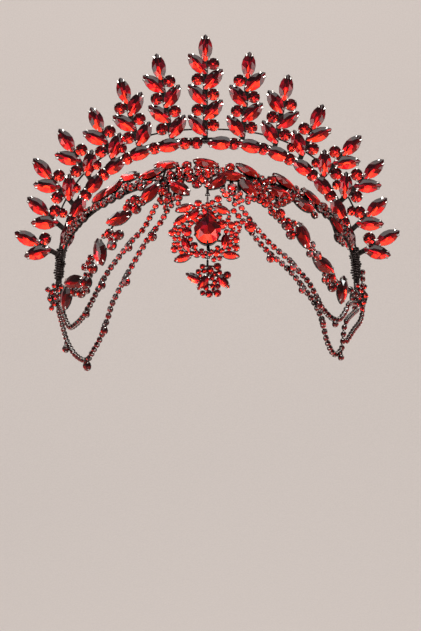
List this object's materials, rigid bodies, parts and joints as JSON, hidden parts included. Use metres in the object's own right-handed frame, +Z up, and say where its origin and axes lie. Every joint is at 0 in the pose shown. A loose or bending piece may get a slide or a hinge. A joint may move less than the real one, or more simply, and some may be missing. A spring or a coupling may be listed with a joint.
{
  "type": "bridal crown",
  "caption": "Double-arched bridal crown with a fan of leaf-like spikes, draped cup chains and a pear-shaped forehead pendant, set with red cut stones.",
  "frame": {"origin": "the seat on top of the head, at the underside of the rear band's crest", "axes": "+X to the right of a viewer in front, +Y to the back of the head, +Z up"},
  "size_m": [0.2091, 0.1131, 0.1826],
  "materials": {
    "gunmetal": "black gunmetal plating, satin",
    "siam_glass": "polished cut glass in black cups"
  },
  "bodies": {
    "crown": {"rear_band": "gunmetal", "cross_wire": "gunmetal", "front_band": "siam_glass", "fan_base": "siam_glass", "spike_centre": "siam_glass", "spike_right_1": "siam_glass", "spike_right_2": "siam_glass", "spike_right_3": "siam_glass", "spike_right_4": "siam_glass", "spike_right_5": "siam_glass", "spike_right_6": "siam_glass", "spike_right_7": "siam_glass", "spike_left_1": "siam_glass", "spike_left_2": "siam_glass", "spike_left_3": "siam_glass", "spike_left_4": "siam_glass", "spike_left_5": "siam_glass", "spike_left_6": "siam_glass", "spike_left_7": "siam_glass", "strand_left": "siam_glass", "strand_right": "siam_glass", "chain_left_upper": "siam_glass", "chain_left_lower": "siam_glass", "chain_right_upper": "siam_glass", "chain_right_lower": "siam_glass", "chain_right_rear": "siam_glass", "cluster_left": "siam_glass", "cluster_right": "siam_glass", "drop_left_1": "siam_glass", "drop_left_2": "siam_glass", "drop_left_3": "siam_glass", "drop_left_4": "siam_glass", "drop_left_5": "siam_glass", "drop_left_6": "siam_glass", "drop_left_7": "siam_glass", "drop_left_8": "siam_glass", "drop_right_1": "siam_glass", "drop_right_2": "siam_glass", "drop_right_3": "siam_glass", "drop_right_4": "siam_glass", "drop_right_5": "siam_glass", "drop_right_6": "siam_glass", "drop_right_7": "siam_glass", "drop_right_8": "siam_glass"},
    "pendant": {"medallion": "siam_glass", "pear_stone": "siam_glass"},
    "leaf_drop": {"lower_drop": "siam_glass"}
  },
  "joints": [
    {"name": "pendant_swing", "type": "hinge", "parent": "crown", "child": "pendant", "pos_m": [0, -0.08987, -0.0325], "axis": [-1, 0, 0], "range_deg": [0, 60]},
    {"name": "leaf_drop_swing", "type": "hinge", "parent": "pendant", "child": "leaf_drop", "pos_m": [0, -0.1058, -0.06496], "axis": [-1, 0, 0], "range_deg": [0, 50]}
  ]
}
